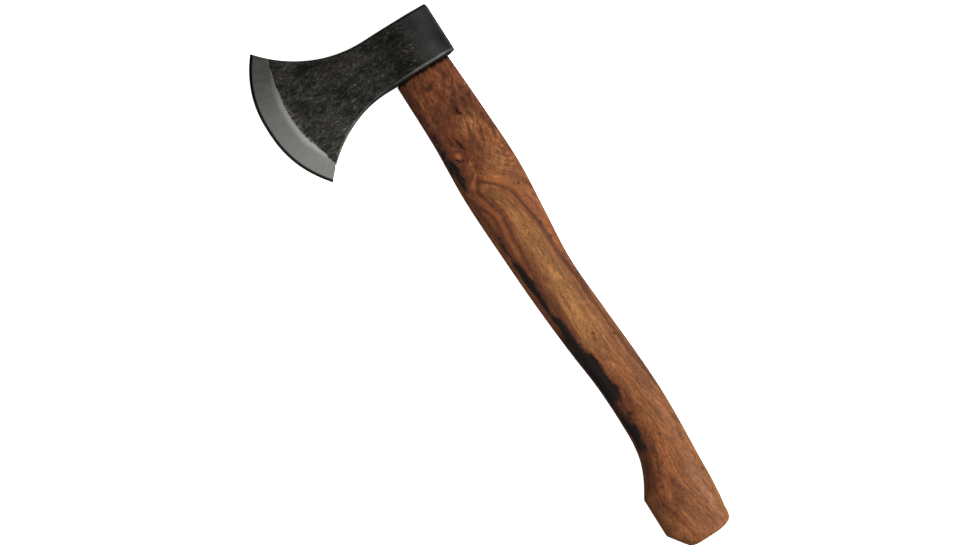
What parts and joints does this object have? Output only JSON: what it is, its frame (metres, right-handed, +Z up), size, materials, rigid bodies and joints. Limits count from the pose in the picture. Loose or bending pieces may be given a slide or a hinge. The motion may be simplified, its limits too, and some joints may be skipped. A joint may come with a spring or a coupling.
{
  "type": "hatchet",
  "caption": "Hand hatchet with a forged dark steel head, flared ground cutting edge and a curved hardwood haft, wedged in the eye.",
  "frame": {"origin": "middle of the bounding box's underside, with the hatchet on its side and its mid-plane horizontal, half the eye's thickness (15 mm) above the origin", "axes": "+X along the haft from its butt towards the top of the head, +Y across from the poll towards the cutting edge, +Z up, out of one side of the head"},
  "size_m": [0.4346, 0.135, 0.03],
  "materials": {
    "forged_steel": "black forge scale, satin ground bevel at the cutting edge",
    "varnished_hardwood": "satin varnish over figured red-brown hardwood",
    "pale_hardwood": "bare sawn hardwood",
    "wedge_steel": "plain mild steel, hammered end"
  },
  "bodies": {
    "root": {"axe_head": "forged_steel", "haft": "varnished_hardwood", "wood_wedge": "pale_hardwood", "steel_wedge": "wedge_steel"}
  },
  "joints": []
}
